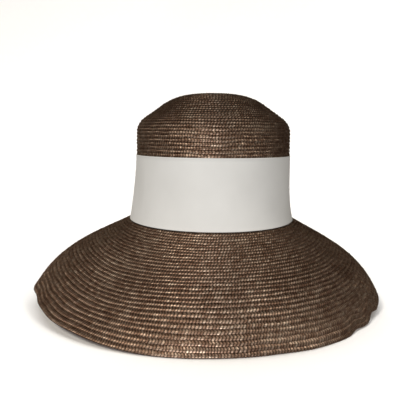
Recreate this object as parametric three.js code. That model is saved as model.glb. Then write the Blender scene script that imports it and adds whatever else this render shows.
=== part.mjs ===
import * as THREE from "three";

// A wide-brimmed dress hat of sewn straw braid, with a broad ribbon stretched round its crown.
// Millimetres, +Z up. The hat rests on the plane Z = 0 by the edge of its brim, and the origin lies
// there under the middle of the whole hat. The front faces -Y, and the right side in the view from
// the front is +X. An azimuth of 0 is +X, and 90 degrees is the back.

// Head size and straw
const HEAD_WIDTH = 162.6; // inside the upright wall, side to side
const HEAD_LENGTH = 192.6; // inside the upright wall, front to back
const STRAW = 2; // thickness of the sewn braid
const RIB_DEPTH = 0.6; // from the crest of a braid row to the groove beside it
const CLEARANCE = 0.3; // between two pieces that touch

// Crown
const CROWN_HEIGHT = 134; // from the foot of the crown to its top
const CROWN_PITCH = 3.6; // width of one braid row on the crown
const FLAT_TOP = 44; // width of the flat top
const TOP_BEND = 58; // radius from the flat top into the slope
const SLOPE = 35.6; // degrees below level, of the band between top and shoulder
const SHOULDER_BEND = 20; // radius from the slope into the upright wall
const FLARE_HEIGHT = 70; // the foot of the wall opens out over this height
const FLARE_REACH = 7.4; // by this much at the left, and by a share of it elsewhere

// Brim
const BRIM_WIDTH = 125; // along the straw, from the crown to the edge
const BRIM_ROWS = 31; // rounds of braid
const ROW_GROWTH = 0.24; // rows are narrower by this share at the crown and wider at the edge
const WAVE_HEIGHT = 3; // lift of the tallest wave of the edge
const WAVE_ZONE = 0.3; // share of the brim that the waves run in from the edge
const REST_PRESS = 1.9; // the lowest stretches of the edge are levelled by this much where they rest

// Ribbon
const RIBBON_WIDTH = 70;
const RIBBON_THICKNESS = 0.8;
const RIBBON_LAP = 24; // the end of the ribbon laps over its start by this length
const LAP_AZIMUTH = 96; // degrees, the middle of the lap, behind
const LAP_RISE = 0.4; // degrees round the crown that the step at each end of the lap takes

// Facets
const CROWN_STEPS = 30; // round the crown and the ribbon
const BRIM_STEPS = 36; // round the brim, with more where its edge waves
const WALL_RINGS = 6; // up the wall under the ribbon
const INSIDE_RINGS = 11; // up the inside of the crown
const UNDERSIDE_RINGS = 7; // across the underside of the brim
const WALK_STEPS = 60; // short lengths that the fall of the brim is worked out in

// Colours and finish
const STRAW_BROWN = 0x6b5a4d;
const STRAW_ROUGHNESS = 0.6;
const RIBBON_WHITE = 0xdddbd8;
const RIBBON_ROUGHNESS = 0.8;

// How the brim falls and the crown's foot opens, all round. Slopes are degrees below level.
const AZIMUTH_TABLE = [
  { azimuth: 0, headSlope: 30, midSlope: 35, edgeSlope: 70, flare: 0.62, flarePower: 4.2 },
  { azimuth: 45, headSlope: 36, midSlope: 43.5, edgeSlope: 73, flare: 0.6, flarePower: 3.5 },
  { azimuth: 90, headSlope: 44, midSlope: 39, edgeSlope: 84, flare: 0.58, flarePower: 2.9 },
  { azimuth: 135, headSlope: 42, midSlope: 42, edgeSlope: 33, flare: 0.8, flarePower: 2.3 },
  { azimuth: 180, headSlope: 23.5, midSlope: 31, edgeSlope: 60, flare: 1, flarePower: 1.6 },
  { azimuth: 225, headSlope: 42, midSlope: 42, edgeSlope: 33, flare: 0.8, flarePower: 2.3 },
  { azimuth: 270, headSlope: 44, midSlope: 39, edgeSlope: 84, flare: 0.58, flarePower: 2.9 },
  { azimuth: 315, headSlope: 36, midSlope: 43.5, edgeSlope: 73, flare: 0.6, flarePower: 3.5 },
];

// Waves of the edge. Lift is up and reach is outward, both as shares of WAVE_HEIGHT.
const WAVE_TABLE = [
  { azimuth: 192, halfWidth: 7, lift: 0, reach: 0.5 },
  { azimuth: 200, halfWidth: 6, lift: 0.2, reach: -0.4 },
  { azimuth: 219, halfWidth: 11, lift: -0.2, reach: 0.3 },
  { azimuth: 300, halfWidth: 14, lift: 0, reach: 0.8 },
  { azimuth: 311, halfWidth: 8, lift: 0, reach: 0.5 },
  { azimuth: 319, halfWidth: 6, lift: 0.6, reach: -0.3 },
  { azimuth: 325, halfWidth: 7, lift: 0, reach: 0.2 },
  { azimuth: 332, halfWidth: 6, lift: 1, reach: -0.5 },
  { azimuth: 339, halfWidth: 7, lift: 0, reach: 0.1 },
  { azimuth: 346, halfWidth: 9, lift: 0.3, reach: 0.2 },
];

const radians = THREE.MathUtils.degToRad;
const OVAL = (HEAD_LENGTH - HEAD_WIDTH) / 2; // the oval is this much longer than wide, each way
const WALL_RADIUS = HEAD_WIDTH / 2 + STRAW; // outside of the upright wall, from the middle to +X

// A column of the azimuth table at any azimuth, on a smooth closed curve through its rows.
function around(column, azimuth) {
  const count = AZIMUTH_TABLE.length;
  const place = (THREE.MathUtils.euclideanModulo(azimuth, 360) / 360) * count;
  const row = Math.floor(place);
  const share = place - row;
  const [before, start, end, after] = [-1, 0, 1, 2].map(
    (step) => AZIMUTH_TABLE[(row + step + count) % count][column],
  );
  const slopeStart = (end - before) / 2;
  const slopeEnd = (after - start) / 2;
  const s2 = share * share;
  const s3 = s2 * share;
  return (
    start * (2 * s3 - 3 * s2 + 1) +
    slopeStart * (s3 - 2 * s2 + share) +
    end * (3 * s2 - 2 * s3) +
    slopeEnd * (s3 - s2)
  );
}

// The crown's outer face in section, walked from the middle of the top down to the foot.
// Heights are above the foot. The flare of the foot is added by crownPoint.
function crownSection() {
  const slope = radians(SLOPE);
  const topEnd = FLAT_TOP / 2 + TOP_BEND * Math.sin(slope);
  const topDrop = TOP_BEND * (1 - Math.cos(slope));
  const shoulderStart = WALL_RADIUS - SHOULDER_BEND * (1 - Math.sin(slope));
  const slopeDrop = (shoulderStart - topEnd) * Math.tan(slope);
  const shoulderDrop = SHOULDER_BEND * Math.cos(slope);
  const shoulderHeight = CROWN_HEIGHT - topDrop - slopeDrop - shoulderDrop;
  const path = new THREE.Path();
  path.moveTo(0, CROWN_HEIGHT);
  path.lineTo(FLAT_TOP / 2, CROWN_HEIGHT);
  path.absarc(FLAT_TOP / 2, CROWN_HEIGHT - TOP_BEND, TOP_BEND, Math.PI / 2, Math.PI / 2 - slope, true);
  path.lineTo(shoulderStart, CROWN_HEIGHT - topDrop - slopeDrop);
  path.absarc(WALL_RADIUS - SHOULDER_BEND, shoulderHeight, SHOULDER_BEND, Math.PI / 2 - slope, 0, true);
  path.lineTo(WALL_RADIUS, 0);
  return path;
}

const SECTION = crownSection();
const SECTION_LENGTH = SECTION.getLength();

// A place on the crown's section by its length from the middle of the top, with the outward normal.
function crownPlace(length) {
  const share = THREE.MathUtils.clamp(length / SECTION_LENGTH, 0, 1);
  const point = SECTION.getPointAt(share);
  const tangent = SECTION.getTangentAt(share);
  return { radius: point.x, height: point.y, outward: -tangent.y, upward: tangent.x };
}

function flareAt(height, azimuth) {
  if (height >= FLARE_HEIGHT) return 0;
  const depth = 1 - height / FLARE_HEIGHT;
  return FLARE_REACH * around("flare", azimuth) * depth ** around("flarePower", azimuth);
}

// Half width of the crown's outer face at its foot, where the brim begins.
function footRadius(azimuth) {
  return WALL_RADIUS + flareAt(0, azimuth);
}

// A point of the oval at an azimuth: the given half width, moved out square to the oval.
function ovalPoint(azimuth, halfWidth, out, z) {
  const angle = radians(azimuth);
  const halfLength = halfWidth + OVAL;
  const normal = new THREE.Vector2(halfLength * Math.cos(angle), halfWidth * Math.sin(angle)).normalize();
  return new THREE.Vector3(
    halfWidth * Math.cos(angle) + out * normal.x,
    halfLength * Math.sin(angle) + out * normal.y,
    z,
  );
}

// Rings of points become one closed mesh. A ring of one point is a pole. Without poles the last ring
// joins the first. Rings run up the outside and down the inside.
function closedSkin(rings) {
  const starts = [];
  const positions = [];
  for (const ring of rings) {
    starts.push(positions.length / 3);
    for (const point of ring) positions.push(point.x, point.y, point.z);
  }
  const indices = [];
  const steps = Math.max(...rings.map((ring) => ring.length));
  rings.forEach((ring, i) => {
    const next = (i + 1) % rings.length;
    const upper = rings[next];
    for (let j = 0; j < steps; j++) {
      const k = (j + 1) % steps;
      const a = starts[i] + j;
      const b = starts[i] + k;
      const c = starts[next] + k;
      const d = starts[next] + j;
      if (ring.length > 1 && upper.length > 1) indices.push(a, b, c, a, c, d);
      else if (ring.length > 1) indices.push(a, b, starts[next]);
      else if (upper.length > 1) indices.push(starts[i], c, d);
    }
  });
  const geometry = new THREE.BufferGeometry();
  geometry.setAttribute("position", new THREE.Float32BufferAttribute(positions, 3));
  geometry.setIndex(indices);
  geometry.computeVertexNormals();
  return geometry;
}

function evenAzimuths(steps) {
  return Array.from({ length: steps }, (_, i) => (360 * i) / steps);
}

// Numbers from start to end, both included.
function spaced(start, end, count) {
  return Array.from({ length: count }, (_, i) => start + ((end - start) * i) / (count - 1));
}

// How the brim leaves the crown at one azimuth: the straw is walked from the crown to the edge in
// short steps, each at its own slope. Every entry holds spread, drop and slope after that step.
function brimWalk(azimuth) {
  const head = radians(around("headSlope", azimuth));
  const middle = radians(around("midSlope", azimuth));
  const edge = radians(around("edgeSlope", azimuth));
  const slopeAt = (t) => head * (1 - t) * (1 - 2 * t) + middle * 4 * t * (1 - t) + edge * t * (2 * t - 1);
  const walk = [{ spread: 0, drop: 0, slope: slopeAt(0) }];
  for (let i = 0; i < WALK_STEPS; i++) {
    const slope = slopeAt((i + 0.5) / WALK_STEPS);
    const last = walk[i];
    walk.push({
      spread: last.spread + (BRIM_WIDTH / WALK_STEPS) * Math.cos(slope),
      drop: last.drop + (BRIM_WIDTH / WALK_STEPS) * Math.sin(slope),
      slope: slopeAt((i + 1) / WALK_STEPS),
    });
  }
  return walk;
}

// The brim's azimuths are even steps, halved where a wave of the edge passes.
function brimAzimuths() {
  const step = 360 / BRIM_STEPS;
  const waves = (azimuth) => WAVE_TABLE.some((wave) => Math.abs(azimuth - wave.azimuth) < wave.halfWidth);
  return evenAzimuths(BRIM_STEPS).flatMap((azimuth) =>
    waves(azimuth + step / 2) ? [azimuth, azimuth + step / 2] : [azimuth],
  );
}

const BRIM_AZIMUTHS = brimAzimuths();
const BRIM_WALKS = new Map(BRIM_AZIMUTHS.map((azimuth) => [azimuth, brimWalk(azimuth)]));
const LOWEST_DROP = Math.max(...[...BRIM_WALKS.values()].map((walk) => walk[WALK_STEPS].drop));
const FOOT_HEIGHT = LOWEST_DROP - REST_PRESS; // of the crown above the surface that the edge rests on
const SEAT_WIDTH = STRAW + CLEARANCE + RIBBON_THICKNESS; // level ring of the brim under crown and ribbon

function waveAt(column, azimuth) {
  return WAVE_TABLE.reduce((sum, wave) => {
    const away = Math.abs(azimuth - wave.azimuth) / wave.halfWidth;
    return away < 1 ? sum + (wave[column] * WAVE_HEIGHT * (1 + Math.cos(Math.PI * away))) / 2 : sum;
  }, 0);
}

// A point of the brim, at a share of its width from crown to edge, moved off its middle face by rise.
function brimPoint(azimuth, share, rise) {
  const walk = BRIM_WALKS.get(azimuth);
  const place = share * WALK_STEPS;
  const step = Math.min(Math.floor(place), WALK_STEPS - 1);
  const between = (key) => THREE.MathUtils.lerp(walk[step][key], walk[step + 1][key], place - step);
  const slope = between("slope");
  const levelled = Math.min(1, FOOT_HEIGHT / walk[WALK_STEPS].drop);
  const wave = THREE.MathUtils.smoothstep(share, 1 - WAVE_ZONE, 1);
  const out = SEAT_WIDTH - STRAW + between("spread") + wave * waveAt("reach", azimuth);
  const up = FOOT_HEIGHT - CLEARANCE - levelled * between("drop") + wave * waveAt("lift", azimuth);
  return ovalPoint(azimuth, footRadius(azimuth), out + rise * Math.sin(slope), up + rise * Math.cos(slope));
}

// Share of the brim's width at which a row of braid ends.
function rowShare(row) {
  const t = row / BRIM_ROWS;
  return t + ROW_GROWTH * t * (t - 1);
}

function brim() {
  const ringAt = (share, rise) => BRIM_AZIMUTHS.map((azimuth) => brimPoint(azimuth, share, rise));
  // The edge is cut level, and nothing of it reaches below the surface that the hat rests on.
  const edgeRing = (inward) =>
    BRIM_AZIMUTHS.map((azimuth) => {
      const point = brimPoint(azimuth, 1, 0);
      const inner = ovalPoint(azimuth, footRadius(azimuth), 0, 0);
      const away = new THREE.Vector3(point.x - inner.x, point.y - inner.y, 0).normalize();
      point.addScaledVector(away, -inward);
      point.z = Math.max(point.z, 0);
      return point;
    });
  const headRing = (out, z) =>
    BRIM_AZIMUTHS.map((azimuth) => ovalPoint(azimuth, footRadius(azimuth), out, z));
  const rings = [edgeRing(0)];
  for (let row = BRIM_ROWS; row > 0; row--) {
    rings.push(ringAt((rowShare(row) + rowShare(row - 1)) / 2, RIB_DEPTH));
    if (row > 1) rings.push(ringAt(rowShare(row - 1), 0));
  }
  const seat = FOOT_HEIGHT - CLEARANCE;
  rings.push(headRing(SEAT_WIDTH - STRAW, seat), headRing(-STRAW, seat), headRing(-STRAW, seat - STRAW));
  const margin = STRAW / BRIM_WIDTH; // keeps the underside clear of the ends that it meets at a corner
  for (const share of spaced(margin, 1 - margin, UNDERSIDE_RINGS)) rings.push(ringAt(share, -STRAW));
  rings.push(edgeRing(STRAW));
  return closedSkin(rings);
}

// Lengths along the crown's section, from the ribbon's upper edge to its lower one. The wall under
// the ribbon is faceted at the same lengths.
const RIBBON_TOP = SECTION_LENGTH - RIBBON_WIDTH;
const BAND_LENGTHS = spaced(RIBBON_TOP, SECTION_LENGTH - CLEARANCE, WALL_RINGS);

function crownPoint(azimuth, length, rise) {
  const place = crownPlace(length);
  const radius = place.radius + flareAt(place.height, azimuth);
  const z = FOOT_HEIGHT + place.height + rise * place.upward;
  return ovalPoint(azimuth, Math.max(radius, 0), rise * place.outward, z);
}

function crown() {
  const azimuths = evenAzimuths(CROWN_STEPS);
  const ringAt = (length, rise) => azimuths.map((azimuth) => crownPoint(azimuth, length, rise));
  const wall = [...BAND_LENGTHS.slice(0, -1), SECTION_LENGTH].reverse();
  const outside = wall.map((length) => ringAt(length, 0));
  const rows = Math.floor((RIBBON_TOP - FLAT_TOP / 2) / CROWN_PITCH);
  for (let row = 1; row <= rows; row++) {
    outside.push(ringAt(RIBBON_TOP - (row - 0.5) * CROWN_PITCH, RIB_DEPTH));
    outside.push(ringAt(RIBBON_TOP - row * CROWN_PITCH, 0));
  }
  outside.push(ringAt(CROWN_PITCH, 0));
  const inside = spaced(CROWN_PITCH, SECTION_LENGTH, INSIDE_RINGS).map((length) => ringAt(length, -STRAW));
  const top = new THREE.Vector3(0, 0, FOOT_HEIGHT + CROWN_HEIGHT);
  const ceiling = top.clone().setZ(top.z - STRAW);
  return closedSkin([...outside, [top], [ceiling], ...inside]);
}

// The ribbon follows the wall and its flare. Its thickness doubles where its end laps over its start.
function ribbonBand() {
  const lapAngle = THREE.MathUtils.radToDeg(RIBBON_LAP / 2 / (WALL_RADIUS + CLEARANCE));
  const lapEdges = [-lapAngle - LAP_RISE, -lapAngle, lapAngle, lapAngle + LAP_RISE].map(
    (offset) => LAP_AZIMUTH + offset,
  );
  const azimuths = [...evenAzimuths(CROWN_STEPS), ...lapEdges].sort((a, b) => a - b);
  const thickness = (azimuth) =>
    RIBBON_THICKNESS * (Math.abs(azimuth - LAP_AZIMUTH) < lapAngle + LAP_RISE / 2 ? 2 : 1);
  const ringAt = (length, rise) =>
    azimuths.map((azimuth) => crownPoint(azimuth, length, CLEARANCE + rise * thickness(azimuth)));
  const outside = [...BAND_LENGTHS].reverse().map((length) => ringAt(length, 1));
  const inside = BAND_LENGTHS.map((length) => ringAt(length, 0));
  return closedSkin([...outside, ...inside]);
}

function piece(name, geometry, color, roughness) {
  const material = new THREE.MeshStandardMaterial({ color, roughness, metalness: 0 });
  const mesh = new THREE.Mesh(geometry, material);
  mesh.name = name;
  return mesh;
}

const hat = new THREE.Group();
hat.add(piece("crown", crown(), STRAW_BROWN, STRAW_ROUGHNESS));
hat.add(piece("brim", brim(), STRAW_BROWN, STRAW_ROUGHNESS));
hat.add(piece("ribbon_band", ribbonBand(), RIBBON_WHITE, RIBBON_ROUGHNESS));

// The fall of the brim isn't the same on both sides, so the middle of the whole hat is found last.
const middle = new THREE.Box3().setFromObject(hat).getCenter(new THREE.Vector3());
hat.position.set(-middle.x, -middle.y, 0);

export default hat;
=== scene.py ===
import math

import bpy
import numpy as np
from mathutils import Matrix, Vector


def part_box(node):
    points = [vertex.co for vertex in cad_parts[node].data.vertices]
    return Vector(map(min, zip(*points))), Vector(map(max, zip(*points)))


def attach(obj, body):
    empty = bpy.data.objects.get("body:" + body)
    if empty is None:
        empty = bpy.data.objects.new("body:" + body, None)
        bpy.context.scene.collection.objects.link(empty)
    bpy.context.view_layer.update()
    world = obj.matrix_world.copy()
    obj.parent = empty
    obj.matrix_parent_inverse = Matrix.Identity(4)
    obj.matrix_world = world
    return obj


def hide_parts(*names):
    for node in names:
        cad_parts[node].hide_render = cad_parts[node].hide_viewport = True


# A dress hat of sewn straw braid with a broad ribbon, round by round, on a pale floor.
# Metres, +Z up, the front towards -Y. Azimuth 0 is +X and 90 degrees is the back.
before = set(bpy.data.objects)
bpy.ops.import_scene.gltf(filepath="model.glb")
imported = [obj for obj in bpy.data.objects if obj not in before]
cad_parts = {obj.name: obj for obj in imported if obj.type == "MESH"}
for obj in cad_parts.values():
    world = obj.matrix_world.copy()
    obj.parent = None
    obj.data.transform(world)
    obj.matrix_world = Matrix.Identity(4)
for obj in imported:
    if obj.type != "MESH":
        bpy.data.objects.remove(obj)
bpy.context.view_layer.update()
MM = 0.001

# Head and straw
HEAD_WIDTH = 162.6 * MM
HEAD_LENGTH = 192.6 * MM
STRAW = 2 * MM
CLEARANCE = 0.3 * MM
OVAL = (HEAD_LENGTH - HEAD_WIDTH) / 2
WALL_RADIUS = HEAD_WIDTH / 2 + STRAW

# Crown
CROWN_HEIGHT = 134 * MM
CROWN_PITCH = 3.6 * MM
FLAT_TOP = 44 * MM
TOP_BEND = 58 * MM
SLOPE = math.radians(35.6)
SHOULDER_BEND = 20 * MM
FLARE_HEIGHT = 70 * MM
FLARE_REACH = 7.4 * MM
START_FOLD = 15 * MM  # the braid starts as a straight fold, this long each way from the middle
FOLD_FADE = 30 * MM  # the rounds turn from that fold's shape into the oval over this radius

# Brim
BRIM_WIDTH = 125 * MM
BRIM_ROWS = 31
ROW_GROWTH = 0.24  # the rounds widen outwards, from this share under their mean to this share over it
WAVE_HEIGHT = 3 * MM
WAVE_ZONE = 0.3  # the edge's waves reach in over this share of the brim's width

# Ribbon
RIBBON_WIDTH = 70 * MM
RIBBON_THICKNESS = 0.8 * MM
RIBBON_LAP = 24 * MM
LAP_AZIMUTH = 96  # degrees
LAP_GAP = 0.1 * MM

# Braid
CROWN_CELL = 3.0 * MM  # length of braid from one crossing of the straws to the next
BRIM_CELL = 2.8 * MM
CELL_STEPS = 4  # facets along a cell
TOP_STEPS = 5  # facets across the upper face of a round
HIDDEN_STEPS = (1, 2)  # the same two for a round under the ribbon
BRAID_CREST = 0.35 * MM
BRAID_GROOVE = -0.6 * MM
BRAID_UNDER = -1.5 * MM
BRAID_OVERLAP = 0.15  # share of a round's width by which it laps with the next one, each way
WANDER = 0.07  # how far the line between two rounds strays, as a share of a round's width
WANDER_KNOTS = 60
SEAT_NUMBER = -1  # the brim's seat has this number, and its rounds count from 0
CROWN_NUMBER = 100  # number of the crown's first round
ROUND_NUMBERS = 200  # more than any round's number
CREST_LEAN = 1.4  # over 1 puts a round's crest nearer to its outer edge
ARCH_POWER = 2.2  # over 2 makes the crest a little flatter than a parabola
SHINGLE = 0.28 * MM  # raises the outer edge of a round this much and lowers its inner one as much
STRAND_RELIEF = 0.34 * MM
STRAND_SLANT = 0.5  # cells that a straw runs along the braid from its middle to its edge
SCALLOP = 0.08  # share of a round's width by which each straw bulges past the braid's edge
RELIEF_POWER = 4  # the relief stays nearly whole across a round and ends at its edges
DRIFT = 0.35  # cells by which the crossings drift along a round
DRIFT_CELLS = 9  # cells over which they drift
UNEVEN_RELIEF = 0.3  # share by which the relief differs from cell to cell
SWELL = 0.06 * MM  # about how much thicker or thinner a round gets
SWELL_CELLS = 5  # cells over which it does
AZIMUTH_SAMPLES = 721  # one each half degree, to measure the length of a round

# Values at eight even azimuths. The slopes of the brim are in degrees below level. The flare of the
# crown's foot is a share of FLARE_REACH, with the power by which it grows downwards.
AZIMUTH_TABLE = {
    "head_slope": (30, 36, 44, 42, 23.5, 42, 44, 36),
    "mid_slope": (35, 43.5, 39, 42, 31, 42, 39, 43.5),
    "edge_slope": (70, 73, 84, 33, 60, 33, 84, 73),
    "flare": (0.62, 0.6, 0.58, 0.8, 1, 0.8, 0.58, 0.6),
    "flare_power": (4.2, 3.5, 2.9, 2.3, 1.6, 2.3, 2.9, 3.5),
}
# Waves of the brim's edge. Azimuth and half width are in degrees, lift and reach in WAVE_HEIGHT.
WAVE_COLUMNS = ("azimuth", "half_width", "lift", "reach")
WAVE_TABLE = (
    (192, 7, 0, 0.5),
    (200, 6, 0.2, -0.4),
    (219, 11, -0.2, 0.3),
    (300, 14, 0, 0.8),
    (311, 8, 0, 0.5),
    (319, 6, 0.6, -0.3),
    (325, 7, 0, 0.2),
    (332, 6, 1, -0.5),
    (339, 7, 0, 0.1),
    (346, 9, 0.3, 0.2),
)
WAVES = [dict(zip(WAVE_COLUMNS, row)) for row in WAVE_TABLE]

crown_low, crown_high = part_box("crown")
FOOT_HEIGHT = crown_low.z
AXIS_X = crown_high.x - WALL_RADIUS - FLARE_REACH * AZIMUTH_TABLE["flare"][0]
rng = np.random.default_rng(7)
edge_knots = rng.standard_normal((ROUND_NUMBERS, WANDER_KNOTS)) * WANDER


# Shape of the hat

def around(column, azimuth):
    """A column of the azimuth table at azimuths in degrees, on a smooth closed curve."""
    values = np.array(AZIMUTH_TABLE[column], float)
    count = len(values)
    place = (np.asarray(azimuth) % 360) / 360 * count
    row = np.floor(place).astype(int) % count
    t = place - np.floor(place)
    before, start, end, after = (values[(row + step) % count] for step in (-1, 0, 1, 2))
    first, last = (end - before) / 2, (after - start) / 2
    t2, t3 = t * t, t * t * t
    return (
        start * (2 * t3 - 3 * t2 + 1)
        + first * (t3 - 2 * t2 + t)
        + end * (3 * t2 - 2 * t3)
        + last * (t3 - t2)
    )


def smoothstep(x, low, high):
    t = np.clip((x - low) / (high - low), 0, 1)
    return t * t * (3 - 2 * t)


def oval_point(azimuth, half_width, out, z):
    """A point of the oval at an azimuth, moved out square to the oval."""
    angle = np.radians(azimuth)
    half_length = half_width + OVAL
    normal_x, normal_y = half_length * np.cos(angle), half_width * np.sin(angle)
    size = np.maximum(np.hypot(normal_x, normal_y), 1e-9)
    x = half_width * np.cos(angle) + out * normal_x / size
    y = half_length * np.sin(angle) + out * normal_y / size
    return np.stack([AXIS_X + x, y, z + np.zeros_like(x)], -1)


def flare_at(height, azimuth):
    depth = np.clip(1 - height / FLARE_HEIGHT, 0, 1)
    return FLARE_REACH * around("flare", azimuth) * depth ** around("flare_power", azimuth)


# The crown's section: flat top, bend, slope, shoulder bend, upright wall
TOP_END = FLAT_TOP / 2 + TOP_BEND * math.sin(SLOPE)
TOP_DROP = TOP_BEND * (1 - math.cos(SLOPE))
SHOULDER_START = WALL_RADIUS - SHOULDER_BEND * (1 - math.sin(SLOPE))
SLOPE_DROP = (SHOULDER_START - TOP_END) * math.tan(SLOPE)
SHOULDER_HEIGHT = CROWN_HEIGHT - TOP_DROP - SLOPE_DROP - SHOULDER_BEND * math.cos(SLOPE)
SECTION_PARTS = np.cumsum(
    [
        FLAT_TOP / 2,
        TOP_BEND * SLOPE,
        (SHOULDER_START - TOP_END) / math.cos(SLOPE),
        SHOULDER_BEND * (math.pi / 2 - SLOPE),
        SHOULDER_HEIGHT,
    ]
)
SECTION_LENGTH = SECTION_PARTS[-1]
RIBBON_TOP = SECTION_LENGTH - RIBBON_WIDTH


def section_spot(length):
    """Radius, height and slope of the crown's section at a length from the middle of the top."""
    flat, bend, band, shoulder, _ = SECTION_PARTS
    if length < flat:
        return length, CROWN_HEIGHT, 0.0
    if length < bend:
        turn = (length - flat) / TOP_BEND
        radius = FLAT_TOP / 2 + TOP_BEND * math.sin(turn)
        return radius, CROWN_HEIGHT - TOP_BEND * (1 - math.cos(turn)), turn
    if length < band:
        along = length - bend
        height = CROWN_HEIGHT - TOP_DROP - along * math.sin(SLOPE)
        return TOP_END + along * math.cos(SLOPE), height, SLOPE
    if length < shoulder:
        turn = SLOPE + (length - band) / SHOULDER_BEND
        radius = WALL_RADIUS - SHOULDER_BEND * (1 - math.sin(turn))
        return radius, SHOULDER_HEIGHT + SHOULDER_BEND * math.cos(turn), turn
    return WALL_RADIUS, SHOULDER_HEIGHT - (length - shoulder), math.pi / 2


SECTION_SAMPLES = 600
SECTION_LENGTHS = np.linspace(0, SECTION_LENGTH, SECTION_SAMPLES)
SECTION = np.array([section_spot(length) for length in SECTION_LENGTHS])


def fold_point(azimuth, radius):
    """A point of the rounds that lie about the straight fold in the middle of the top."""
    turn = np.radians(azimuth)
    corner = math.sin(math.pi / 4)
    lean = np.clip((np.abs(np.sin(turn)) - corner) / (1 - corner), 0, 1) * math.pi / 2
    along_fold = START_FOLD * np.clip(np.sin(turn) / corner, -1, 1)
    x = radius * np.cos(lean) * np.sign(np.cos(turn))
    y = along_fold + radius * np.sin(lean) * np.sign(np.sin(turn))
    return AXIS_X + x, y


def crown_point(azimuth, length, rise):
    """A point of the crown, at a length along its section, lifted off its face by rise."""
    length = length + np.zeros_like(azimuth)
    radius, height, slope = (np.interp(length, SECTION_LENGTHS, column) for column in SECTION.T)
    z = FOOT_HEIGHT + height + rise * np.cos(slope)
    point = oval_point(azimuth, radius + flare_at(height, azimuth), rise * np.sin(slope), z)
    fold_x, fold_y = fold_point(azimuth, radius)
    share = smoothstep(radius, 0, FOLD_FADE)
    point[..., 0] = fold_x * (1 - share) + point[..., 0] * share
    point[..., 1] = fold_y * (1 - share) + point[..., 1] * share
    return point


WALK_SPOTS = 24


def brim_fall(azimuth, share):
    """Spread, drop and slope of the brim from the crown out to a share of its width."""
    head, middle, edge = (
        np.radians(around(column, azimuth)) for column in ("head_slope", "mid_slope", "edge_slope")
    )

    def slope_at(t):
        return head * (1 - t) * (1 - 2 * t) + middle * 4 * t * (1 - t) + edge * t * (2 * t - 1)

    spread, drop = np.zeros_like(head), np.zeros_like(head)
    for spot in range(WALK_SPOTS):
        slope = slope_at(share * (spot + 0.5) / WALK_SPOTS)
        spread += np.cos(slope)
        drop += np.sin(slope)
    length = BRIM_WIDTH * share / WALK_SPOTS
    return spread * length, drop * length, slope_at(share)


def wave_at(column, azimuth):
    total = np.zeros_like(azimuth)
    for wave in WAVES:
        away = np.abs(azimuth - wave["azimuth"]) / wave["half_width"]
        total += np.where(away < 1, wave[column] * WAVE_HEIGHT * (1 + np.cos(np.pi * away)) / 2, 0)
    return total


def brim_point(azimuth, share, rise):
    """A point of the brim, at a share of its width, lifted off its face by rise."""
    azimuth = azimuth % 360
    spread, drop, slope = brim_fall(azimuth, share)
    full_drop = brim_fall(azimuth, 1.0)[1]
    levelled = np.minimum(1, FOOT_HEIGHT / full_drop)
    wave = smoothstep(share, 1 - WAVE_ZONE, 1)
    half_width = WALL_RADIUS + flare_at(0, azimuth)
    out = CLEARANCE + RIBBON_THICKNESS + spread + wave * wave_at("reach", azimuth)
    up = FOOT_HEIGHT - CLEARANCE - levelled * drop + wave * wave_at("lift", azimuth)
    point = oval_point(azimuth, half_width, out + rise * np.sin(slope), up + rise * np.cos(slope))
    point[..., 2] = np.maximum(point[..., 2], 0)
    return point


def row_share(row):
    """Share of the brim's width at which a round of braid ends."""
    t = row / BRIM_ROWS
    return t + ROW_GROWTH * t * (t - 1)


# Rounds of braid

class Skin:
    """Vertices, quads and a braid coordinate for each corner, gathered from rounds and strips."""

    def __init__(self):
        self.points, self.quads, self.corners, self.count = [], [], [], 0

    def add(self, grid, u, across, row, closed=True):
        """grid[i, k] goes round the hat with i and round the braid's section with k. A strip that
        isn't closed gets a flat end at each side."""
        columns, section = grid.shape[:2]
        spans = columns if closed else columns - 1
        i, k = np.meshgrid(np.arange(spans), np.arange(section), indexing="ij")
        here, ahead = i * section, (i + 1) % columns * section
        next_k = (k + 1) % section
        v = np.append(across, across[0])
        self.put(
            np.stack([here + k, ahead + k, ahead + next_k, here + next_k], -1),
            np.stack([u[i], u[i + 1], u[i + 1], u[i]], -1),
            np.stack([v[k], v[k], v[k + 1], v[k + 1]], -1),
            row,
        )
        if not closed:
            k = np.arange(section // 2 - 1)
            other = section - 1 - k
            first = np.stack([k, k + 1, other - 1, other], -1)
            last = (columns - 1) * section + first[:, ::-1]
            for quads, at in ((first, u[0]), (last, u[-1])):
                self.put(quads, np.full(quads.shape, at), v[quads % section], row)
        self.points.append(grid.reshape(-1, 3))
        self.count += columns * section

    def put(self, quads, u, v, row):
        self.quads.append(quads.reshape(-1, 4) + self.count)
        self.corners.append(np.stack([u, v, np.full(u.shape, float(row))], -1).reshape(-1, 3))

    def make(self, name, material):
        points, quads = np.concatenate(self.points), np.concatenate(self.quads)
        mesh = bpy.data.meshes.new(name)
        mesh.vertices.add(len(points))
        mesh.vertices.foreach_set("co", points.astype(np.float32).ravel())
        mesh.loops.add(quads.size)
        mesh.loops.foreach_set("vertex_index", quads.astype(np.int32).ravel())
        mesh.polygons.add(len(quads))
        mesh.polygons.foreach_set("loop_start", np.arange(0, quads.size, 4, dtype=np.int32))
        mesh.update(calc_edges=True)
        mesh.shade_smooth()
        layer = mesh.attributes.new("plait", "FLOAT_VECTOR", "CORNER")
        layer.data.foreach_set("vector", np.concatenate(self.corners).astype(np.float32).ravel())
        mesh.materials.append(material)
        piece = bpy.data.objects.new(name, mesh)
        bpy.context.collection.objects.link(piece)
        return piece


def closed_curve(values, turn):
    """A smooth closed curve through values at even steps, at shares of a turn."""
    knots = len(values)
    place = turn % 1 * knots
    low = np.floor(place).astype(int)
    t = place - low
    t = t * t * (3 - 2 * t)
    return values[low % knots] * (1 - t) + values[(low + 1) % knots] * t


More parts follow.
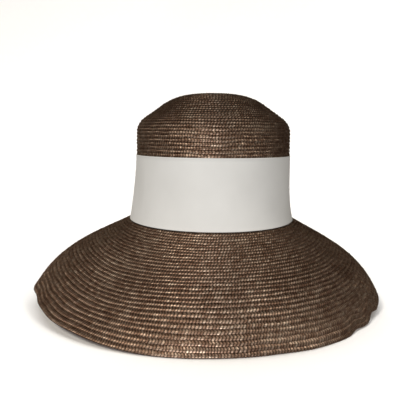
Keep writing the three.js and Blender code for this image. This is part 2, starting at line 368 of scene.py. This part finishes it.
def smooth_noise(count, reach):
    """Closed noise of about unit size along a round, smooth over reach steps."""
    knots = max(4, round(count / reach))
    return closed_curve(rng.standard_normal(knots), np.arange(count) / count)


def even_azimuths(point_at, cell, steps):
    """Azimuths at even lengths along a round, so that whole cells of braid close it."""
    azimuth = np.linspace(0, 360, AZIMUTH_SAMPLES)
    line = point_at(azimuth)
    length = np.append(0, np.cumsum(np.linalg.norm(np.diff(line, axis=0), axis=1)))
    count = max(4, round(length[-1] / cell)) * steps
    return np.interp(np.arange(count) / count * length[-1], length, azimuth)


def strand_wave(u, v):
    """Crossing straws: a chain of slanting strands on each side of the braid's middle."""
    return np.cos(2 * np.pi * (u + STRAND_SLANT * abs(2 * v - 1)))


def braid_round(skin, point_at, cell, row, hidden=False):
    """One round of braid. point_at(azimuth, v, rise) gives a place across its width. A round under
    the ribbon has coarser facets and lies deeper."""
    steps, top_steps = HIDDEN_STEPS if hidden else (CELL_STEPS, TOP_STEPS)
    azimuth = even_azimuths(lambda a: point_at(a, 0.5, 0.0), cell, steps)
    count = len(azimuth)
    shift = rng.random() + DRIFT * smooth_noise(count, DRIFT_CELLS * steps)
    amount = 1 + UNEVEN_RELIEF * smooth_noise(count, steps)
    inner_sway, outer_sway = (
        closed_curve(edge_knots[line], azimuth / 360) for line in (row, row + 1)
    )
    swell = SWELL * smooth_noise(count, SWELL_CELLS * steps)
    u = np.arange(count + 1) / steps + np.append(shift, shift[0])
    across = np.linspace(0, 1, top_steps + 1)
    lines = []
    for v in across:
        arch = 1 - abs(2 * v**CREST_LEAN - 1) ** ARCH_POWER
        rise = BRAID_GROOVE + (BRAID_CREST - BRAID_GROOVE + swell) * arch + SHINGLE * (2 * v - 1)
        strand = strand_wave(u[:-1], v) * amount
        spread = BRAID_OVERLAP
        if hidden:
            rise = rise - BRAID_CREST - SHINGLE
        else:
            rise = rise + STRAND_RELIEF * strand * (1 - abs(2 * v - 1) ** RELIEF_POWER)
            spread = spread + SCALLOP * strand
        sway = inner_sway * (1 - v) + outer_sway * v
        lines.append(point_at(azimuth, v + spread * (2 * v - 1) + sway, rise))
    lines.append(point_at(azimuth, 0.5, BRAID_UNDER + np.zeros(count)))
    skin.add(np.stack(lines, 1), u, np.append(across, 0.5), row)


def crown_rounds(skin, start, end, count, first_row, hidden=False):
    """Rounds of the crown between two lengths of its section."""
    pitch = (end - start) / count
    for row in range(count):

        def point_at(azimuth, v, rise, inner=start + row * pitch):
            return crown_point(azimuth, np.clip(inner + pitch * v, 0, SECTION_LENGTH), rise)

        braid_round(skin, point_at, CROWN_CELL, first_row + row, hidden)


def brim_rounds(skin, rows):
    for row in rows:
        start, end = row_share(row), row_share(row + 1)

        def point_at(azimuth, v, rise, start=start, end=end):
            return brim_point(azimuth, np.clip(start + (end - start) * v, 0, 1), rise)

        braid_round(skin, point_at, BRIM_CELL, row)


def seat_round(skin):
    """The inner edge of the brim, under the foot of the crown and the ribbon."""

    def point_at(azimuth, v, rise):
        out = -STRAW + (STRAW + CLEARANCE + RIBBON_THICKNESS) * v
        half_width = WALL_RADIUS + flare_at(0, azimuth)
        return oval_point(azimuth, half_width, out, FOOT_HEIGHT - CLEARANCE - BRAID_CREST / 2 + rise)

    braid_round(skin, point_at, BRIM_CELL, SEAT_NUMBER, hidden=True)


# Materials

class Tree:
    """A material's nodes, added by short calls."""

    def __init__(self, name):
        self.material = bpy.data.materials.new(name)
        self.material.use_nodes = True
        self.tree = self.material.node_tree
        self.shader = self.tree.nodes["Principled BSDF"]

    def add(self, kind, *inputs, out=0, **settings):
        node = self.tree.nodes.new("ShaderNode" + kind)
        for key, value in settings.items():
            setattr(node, key, value)
        for socket, value in zip(node.inputs, inputs):
            self.set(socket, value)
        return node.outputs[out]

    def set(self, socket, value):
        if isinstance(value, bpy.types.NodeSocket):
            self.tree.links.new(value, socket)
        elif value is not None:
            socket.default_value = value

    def math(self, operation, *inputs):
        return self.add("Math", *inputs, operation=operation)

    def noise(self, place, scale, detail=2.0, roughness=0.5):
        return self.add("TexNoise", place, None, scale, detail, roughness)

    def plait(self):
        """Cells along the braid, share of its width and number of the round, as Skin stores them."""
        split = self.tree.nodes.new("ShaderNodeSeparateXYZ")
        self.set(split.inputs[0], self.add("Attribute", attribute_name="plait", out="Vector"))
        return split.outputs

    def shade(self, **inputs):
        for name, value in inputs.items():
            self.set(self.shader.inputs[name.replace("_", " ").title()], value)

    def ramp(self, value, *stops):
        node = self.tree.nodes.new("ShaderNodeValToRGB")
        elements = node.color_ramp.elements
        while len(elements) < len(stops):
            elements.new(0.5)
        for element, (place, color) in zip(elements, stops):
            element.position = place
            element.color = (*color, 1)
        self.set(node.inputs[0], value)
        return node.outputs[0]

    def gray_ramp(self, value, stops):
        return self.ramp(value, *((place, (light, light, light)) for place, light in stops))

    def scaled(self, color, factor):
        node = self.tree.nodes.new("ShaderNodeVectorMath")
        node.operation = "SCALE"
        self.set(node.inputs[0], color)
        self.set(node.inputs["Scale"], factor)
        return node.outputs[0]

    def bump(self, height, strength, distance):
        node = self.tree.nodes.new("ShaderNodeBump")
        self.set(node.inputs["Height"], height)
        node.inputs["Strength"].default_value = strength
        node.inputs["Distance"].default_value = distance
        return node.outputs[0]


STRAW_TONES = (
    (0.0, (0.135, 0.070, 0.047)),
    (0.35, (0.30, 0.178, 0.120)),
    (0.6, (0.57, 0.40, 0.295)),
    (0.8, (0.88, 0.70, 0.54)),
    (1.0, (1.0, 0.89, 0.75)),
)
TONE_SHARE = 0.38  # how much the tone of each straw counts
STREAK_SHARE = 0.55  # and the streaks along a round
PATCH_SHARE = 0.25  # and the soft patches over the whole hat
TONE_OFFSET = 0.115
STREAK_SCALE = 0.11  # streaks to a cell
STREAK_SHIFT = 3.17  # takes the streaks of one round well away from the next one's
PATCH_SCALE = 16.0  # patches to a metre
PAINTED_GAP_SHADE = 0.93  # how dark the painted shade is between two straws
GAP_POWER = 1.5
FIBRES_ALONG = 9.0  # fine fibres to a straw, along the braid and across it
FIBRES_ACROSS = 3.0
FIBRE_HEIGHT = 0.35  # next to the roundness of a straw
STRAW_BUMP = 0.7
STRAW_BUMP_DEPTH = 0.35 * MM
STRAW_METALLIC = 0.75
STRAW_ROUGHNESS = 0.43  # of the darkest straw
PALE_GLOSS = 0.1  # the palest straw is smoother by this much
STRAW_RIM = (0.55, 0.42, 0.32, 1)  # the straw's gloss where light grazes it

# Painted light and shade across a round, from its inner edge at 0 to its outer edge at 1: painted
# shade in the grooves at both edges, and a painted highlight near the outer edge
PAINTED_ROUND_LIGHT = ((0.0, 0.2), (0.22, 0.68), (0.6, 0.78), (0.78, 1.0), (0.93, 1.0), (1.0, 0.36))
# Painted light and shade over the number of a round, as a share of ROUND_NUMBERS: the crown's top
# is painted darker and the brim's outer rounds lighter, as light falls on them. The brim ends at
# 0.155 and the crown starts at 0.5.
PAINTED_ROW_LIGHT = ((0.0, 0.8), (0.08, 0.82), (0.155, 1.0), (0.5, 0.38), (0.6, 0.45), (0.64, 0.76))


def straw_material():
    """Every straw has a tone of its own. Painted shade darkens the gaps between the straws and the
    rounds, and painted light and shade vary across each round and from round to round.
    """
    tree = Tree("straw_braid")
    u, v, row = tree.plait()
    side = tree.math("ABSOLUTE", tree.math("MULTIPLY_ADD", v, 2.0, -1.0))
    phase = tree.math("MULTIPLY_ADD", side, STRAND_SLANT, u)
    strand = tree.math("ROUND", phase)
    half = tree.math("GREATER_THAN", v, 0.5)
    straw_number = tree.add("CombineXYZ", strand, half, row)
    tone = tree.add("TexWhiteNoise", straw_number, noise_dimensions="3D")
    streak_u = tree.math("MULTIPLY", u, STREAK_SCALE)
    streak_place = tree.add("CombineXYZ", streak_u, half, tree.math("MULTIPLY", row, STREAK_SHIFT))
    streak = tree.noise(streak_place, 1.0, detail=3.0, roughness=0.6)
    patch = tree.noise(tree.add("TexCoord", out="Object"), PATCH_SCALE)
    soft = tree.math("MULTIPLY_ADD", streak, STREAK_SHARE, tree.math("MULTIPLY", patch, PATCH_SHARE))
    mixed = tree.math("MULTIPLY_ADD", tone, TONE_SHARE, soft)
    color = tree.ramp(tree.math("SUBTRACT", mixed, TONE_OFFSET), *STRAW_TONES)
    aside = tree.math("MULTIPLY", tree.math("ABSOLUTE", tree.math("SUBTRACT", phase, strand)), 2.0)
    # Painted shade: darkens the gaps between the straws, where shade falls
    painted_gap_shade = tree.math("MULTIPLY_ADD", tree.math("POWER", aside, GAP_POWER), -PAINTED_GAP_SHADE, 1.0)
    # Painted light and shade across each round: shade in the grooves, a highlight near the outer edge
    painted_round_light = tree.gray_ramp(v, PAINTED_ROUND_LIGHT)
    # Painted light and shade by round: the crown's top darker, the brim's outer rounds lighter
    painted_row_light = tree.gray_ramp(tree.math("DIVIDE", row, float(ROUND_NUMBERS)), PAINTED_ROW_LIGHT)
    # All painted light and shade together, which scales the straw's colour
    shade = tree.math("MULTIPLY", tree.math("MULTIPLY", painted_gap_shade, painted_round_light), painted_row_light)
    fibre_u = tree.math("MULTIPLY", phase, FIBRES_ALONG)
    fibre_place = tree.add("CombineXYZ", fibre_u, tree.math("MULTIPLY", v, FIBRES_ACROSS), row)
    fibre = tree.noise(fibre_place, 1.0)
    rounded = tree.math("MULTIPLY_ADD", tree.math("MULTIPLY", aside, aside), -1.0, 1.0)
    height = tree.math("MULTIPLY_ADD", fibre, FIBRE_HEIGHT, rounded)
    tree.shade(
        base_color=tree.scaled(color, shade),
        metallic=STRAW_METALLIC,
        specular_tint=STRAW_RIM,
        roughness=tree.math("MULTIPLY_ADD", tone, -PALE_GLOSS, STRAW_ROUGHNESS),
        normal=tree.bump(height, STRAW_BUMP, STRAW_BUMP_DEPTH),
    )
    return tree.material


RIBBON_TONES = ((0.3, (0.64, 0.64, 0.63)), (0.7, (0.685, 0.686, 0.677)))
CLOUD_SCALE = 25.0  # soft changes of tone to a metre
THREAD_SCALE = 900.0  # fine threads to a metre
RIB_HEIGHT = 0.5  # of a rib of the weave, next to the fine threads
RIBBON_BUMP = 0.25
RIBBON_BUMP_DEPTH = 0.12 * MM


def ribbon_material():
    tree = Tree("ribbon_weave")
    u, _, _ = tree.plait()
    rib = tree.math("SINE", tree.math("MULTIPLY", u, 2 * math.pi))
    place = tree.add("TexCoord", out="Object")
    cloud = tree.noise(place, CLOUD_SCALE, detail=3.0)
    threads = tree.noise(place, THREAD_SCALE, roughness=0.6)
    height = tree.math("MULTIPLY_ADD", rib, RIB_HEIGHT, threads)
    tree.shade(
        base_color=tree.ramp(cloud, *RIBBON_TONES),
        roughness=0.75,
        sheen_weight=0.15,
        normal=tree.bump(height, RIBBON_BUMP, RIBBON_BUMP_DEPTH),
    )
    return tree.material


GRAIN_SCALE = 40.0  # patches to a metre
GRAIN_TONE = 0.985  # the darker patches, as a share of the colour


def plain_material(name, color, roughness):
    tree = Tree(name)
    grain = tree.noise(tree.add("TexCoord", out="Object"), GRAIN_SCALE)
    low = tuple(GRAIN_TONE * c for c in color)
    tree.shade(base_color=tree.ramp(grain, (0.3, low), (0.7, color)), roughness=roughness)
    return tree.material


# Ribbon

RIB_PITCH = 0.9 * MM
SELVAGE = 1.3 * MM  # width of the thicker edge of the ribbon
SELVAGE_RISE = 0.25 * MM
RIBBON_COLUMNS = 420
RIBBON_LINES = 26
LAP_RAMP = 5 * MM  # the lapped end rises onto the start of the ribbon over this length
RIM_SPOTS = (0, 0.25, 0.6, 1)  # lines of the mesh across the thicker edge
RIM_START = 0.55  # share of the ribbon's thickness at its very edge
RIM_GROWTH = 1.5  # and how fast it grows over the width of the thicker edge
CREASES = (  # azimuth and half width in degrees, height in millimetres
    (196, 2.5, 0.22),
    (205, 2, -0.18),
    (214, 3, 0.2),
    (341, 2.5, 0.2),
    (20, 3, 0.15),
)


def ribbon_band(material):
    """The ribbon is one strip, wound round the wall, with its end lapped over its start."""
    middle_radius = WALL_RADIUS + OVAL / 2
    lap = math.degrees(RIBBON_LAP / middle_radius)
    ramp = math.degrees(LAP_RAMP / middle_radius)
    turn = np.linspace(0, 360 + lap, RIBBON_COLUMNS)
    azimuth = LAP_AZIMUTH - lap / 2 + turn
    lifted = smoothstep(turn, 360 - ramp, 360) * (RIBBON_THICKNESS + LAP_GAP)
    line = crown_point(azimuth % 360, RIBBON_TOP + RIBBON_WIDTH / 2, 0.0)
    length = np.append(0, np.cumsum(np.linalg.norm(np.diff(line, axis=0), axis=1)))
    rim = SELVAGE / RIBBON_WIDTH * np.array(RIM_SPOTS)
    inside = np.linspace(rim[-1], 1 - rim[-1], RIBBON_LINES)
    v = np.concatenate([rim[:-1], inside, 1 - rim[-2::-1]])
    at = azimuth % 360
    creases = sum(
        height * MM * np.exp(-(((at - middle) / half_width) ** 2))
        for middle, half_width, height in CREASES
    )
    outer, inner = [], []
    for share in v:
        edge = min(share, 1 - share) * RIBBON_WIDTH / SELVAGE
        bead = SELVAGE_RISE * math.sin(math.pi * min(edge, 1)) if edge < 1 else 0.0
        belly = math.sin(math.pi * share)
        spot = RIBBON_TOP + (RIBBON_WIDTH - CLEARANCE) * share
        thick = RIBBON_THICKNESS * min(1, RIM_START + RIM_GROWTH * edge)
        outer.append(crown_point(at, spot, CLEARANCE + lifted + thick + bead + creases * belly))
        inner.append(crown_point(at, spot, CLEARANCE + lifted))
    grid = np.stack(outer + inner[::-1], 1)
    across = np.concatenate([v, v[::-1]])
    skin = Skin()
    skin.add(grid, np.append(length, length[-1]) / RIB_PITCH, across, 0, closed=False)
    return skin.make("ribbon_strip", material)


STITCH = 2.2 * MM
STITCH_RADIUS = 0.28 * MM
STITCH_COUNT = 15
STITCH_INSET = 2.5 * MM  # from the end of the ribbon
STITCH_SIDES = 8
STITCH_RINGS = 7
STITCH_FLATNESS = 0.8  # height of a stitch as a share of its width
STITCH_TIP = 0.05  # keeps the ends of a stitch blunt
THREAD_COLOR = (0.72, 0.71, 0.69)


def lap_stitches(material):
    """Short stitches down the lapped end of the ribbon, behind."""
    middle_radius = WALL_RADIUS + OVAL / 2
    azimuth = LAP_AZIMUTH + math.degrees((RIBBON_LAP / 2 - STITCH_INSET) / middle_radius)
    skin = Skin()
    pitch = (RIBBON_WIDTH - 4 * SELVAGE) / STITCH_COUNT
    sides = np.arange(STITCH_SIDES) / STITCH_SIDES * 2 * math.pi
    for i in range(STITCH_COUNT):
        start = RIBBON_TOP + 2 * SELVAGE + (i + 0.5) * pitch - STITCH / 2
        rings = []
        for t in np.linspace(0, 1, STITCH_RINGS):
            thick = STITCH_RADIUS * math.sqrt(max(STITCH_TIP, 1 - (2 * t - 1) ** 2))
            rise = CLEARANCE + 2 * RIBBON_THICKNESS + LAP_GAP + thick * np.sin(sides) * STITCH_FLATNESS
            aside = np.degrees(thick * np.cos(sides) / middle_radius)
            rings.append(crown_point(azimuth + aside, start + STITCH * t, rise))
        skin.add(np.stack(rings), np.arange(STITCH_RINGS + 1.0), sides, i, closed=False)
    return skin.make("lap_stitches", material)


# The hat

straw = straw_material()
ribbon_cloth = ribbon_material()

TOP_ROUNDS = round(RIBBON_TOP / CROWN_PITCH)
HIDDEN_ROUNDS = round(RIBBON_WIDTH / CROWN_PITCH)
TOP_SPLIT = 22  # rounds of the top and its bend, the rest are the shoulder and the wall
split_length = TOP_SPLIT * (RIBBON_TOP / TOP_ROUNDS)

crown_top = Skin()
crown_rounds(crown_top, 0, split_length, TOP_SPLIT, CROWN_NUMBER)
crown_side = Skin()
crown_rounds(crown_side, split_length, RIBBON_TOP, TOP_ROUNDS - TOP_SPLIT, CROWN_NUMBER + TOP_SPLIT)
crown_rounds(
    crown_side, RIBBON_TOP, SECTION_LENGTH, HIDDEN_ROUNDS, CROWN_NUMBER + TOP_ROUNDS, hidden=True
)
crown_pieces = [
    crown_top.make("crown_top_braid", straw),
    crown_side.make("crown_wall_braid", straw),
]

BRIM_SPLITS = (0, 11, 19, 25, BRIM_ROWS)  # first round of each piece of the brim, and the end
brim_pieces = []
for part, (first, last) in enumerate(zip(BRIM_SPLITS, BRIM_SPLITS[1:]), 1):
    brim_part = Skin()
    if first == 0:
        seat_round(brim_part)
    brim_rounds(brim_part, range(first, last))
    brim_pieces.append(brim_part.make(f"brim_braid_{part}", straw))

ribbon_strip = ribbon_band(ribbon_cloth)
stitches = lap_stitches(plain_material("thread", THREAD_COLOR, 0.7))

for piece in crown_pieces:
    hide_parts("crown")
for piece in brim_pieces:
    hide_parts("brim")
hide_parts("ribbon_band")
for piece in (*crown_pieces, *brim_pieces, ribbon_strip, stitches):
    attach(piece, "root")


# Floor, light and camera

FLOOR_RADIUS = 1.6
FLOOR_DROP = 0.4 * MM  # keeps the floor just clear of the brim's edge
WALL_BEND = 1.2
WALL_HEIGHT = 1.6
ROUND_STEPS = 96
BEND_STEPS = 12
FLOOR_START = 1 * MM  # radius of the innermost ring of the floor
PALE = (0.93, 0.93, 0.93)
FLOOR_GLOW = 0.05
FLOOR_GLOW_COLOR = (0.9, 0.93, 1, 1)


def turned(name, section, material):
    """A surface of revolution about the Z axis, from radius and height pairs."""
    angles = np.arange(ROUND_STEPS) / ROUND_STEPS * 2 * math.pi
    points = [
        (radius * math.cos(a), radius * math.sin(a), z) for radius, z in section for a in angles
    ]
    faces = []
    for ring in range(len(section) - 1):
        low, high = ring * ROUND_STEPS, (ring + 1) * ROUND_STEPS
        for j in range(ROUND_STEPS):
            k = (j + 1) % ROUND_STEPS
            faces.append((low + j, high + j, high + k, low + k))
    mesh = bpy.data.meshes.new(name)
    mesh.from_pydata(points, [], faces)
    mesh.shade_smooth()
    mesh.materials.append(material)
    surface = bpy.data.objects.new(name, mesh)
    bpy.context.collection.objects.link(surface)
    for sight in ("visible_shadow", "visible_diffuse", "visible_glossy"):
        setattr(surface, sight, False)
    return surface


def studio():
    """A pale floor that bends up into a wall all round. They take the hat's shadow, but the lights
    behind them reach the hat, and they throw no light back on it."""
    pale = plain_material("pale_floor", PALE, 0.9)
    shader = pale.node_tree.nodes["Principled BSDF"]
    shader.inputs["Emission Color"].default_value = FLOOR_GLOW_COLOR
    shader.inputs["Emission Strength"].default_value = FLOOR_GLOW
    flat = [(radius, -FLOOR_DROP) for radius in (FLOOR_START, FLOOR_RADIUS)]
    floor = turned("studio_floor", flat, pale)
    turns = [step / BEND_STEPS * math.pi / 2 for step in range(BEND_STEPS + 1)]
    section = [
        (FLOOR_RADIUS + WALL_BEND * math.sin(turn), WALL_BEND * (1 - math.cos(turn)) - FLOOR_DROP)
        for turn in turns
    ]
    section.append((FLOOR_RADIUS + WALL_BEND, WALL_BEND + WALL_HEIGHT))
    return floor, turned("studio_wall", section, pale)


def sun(name, azimuth, elevation, strength, spread, color=(1, 1, 1)):
    """Soft light from far away. Azimuth 0 comes from the front, and 90 from the right. All angles
    are in degrees."""
    light = bpy.data.lights.new(name, "SUN")
    light.energy = strength
    light.color = color
    light.angle = math.radians(spread)
    lamp = bpy.data.objects.new(name, light)
    a, e = math.radians(azimuth), math.radians(elevation)
    source = Vector((math.sin(a) * math.cos(e), -math.cos(a) * math.cos(e), math.sin(e)))
    lamp.rotation_euler = source.to_track_quat("Z", "Y").to_euler()
    bpy.context.collection.objects.link(lamp)
    return lamp


WARM = (1, 0.93, 0.82)
WORLD_COLOR = (1, 0.90, 0.76, 1)
WORLD_STRENGTH = 0.055

# One light falls on the floor and wall alone. It keeps them white and makes the soft shadow.
lit_by_floor_light = bpy.data.collections.new("lit_by_floor_light")
for surface in studio():
    lit_by_floor_light.objects.link(surface)
floor_light = sun("floor_light", 180, 60, 2.2, 70)
floor_light.light_linking.receiver_collection = lit_by_floor_light

# The low light in front and the low one behind stand for what a pale table throws back.
sun("low_front_light", -5, -13, 1.9, 20)
sun("front_light", -5, 30, 0.26, 20)
sun("side_light_left", -46, 45, 1.38, 14, WARM)
sun("side_light_right", 52, 36, 0.78, 16, WARM)
sun("rim_light_left", -98, 36, 0.34, 12, WARM)
sun("rim_light_right", 98, 36, 0.16, 12, WARM)
sun("back_light", 180, -12, 2.4, 40)

world = bpy.data.worlds.new("studio")
world.use_nodes = True
background = world.node_tree.nodes["Background"]
background.inputs["Color"].default_value = WORLD_COLOR
background.inputs["Strength"].default_value = WORLD_STRENGTH
bpy.context.scene.world = world
bpy.context.scene.view_settings.view_transform = "Standard"

# The camera stands as the photograph's did: a little above the crown's middle, looking slightly down.
CAMERA_PLACE = Vector((-8.83, -616.55, 180.15)) * MM
CAMERA_PITCH = 6.70  # degrees down
CAMERA_ROLL = 0.44  # degrees
FOCAL_PIXELS = 552.91
PICTURE_PIXELS = 400  # width of the photograph
SENSOR = 36
camera_data = bpy.data.cameras.new("camera")
camera_data.sensor_width = SENSOR
camera_data.lens = SENSOR * FOCAL_PIXELS / PICTURE_PIXELS
camera = bpy.data.objects.new("camera", camera_data)
camera.matrix_world = (
    Matrix.Translation(CAMERA_PLACE)
    @ Matrix.Rotation(math.radians(90 - CAMERA_PITCH), 4, "X")
    @ Matrix.Rotation(math.radians(CAMERA_ROLL), 4, "Z")
)
bpy.context.collection.objects.link(camera)
bpy.context.scene.camera = camera
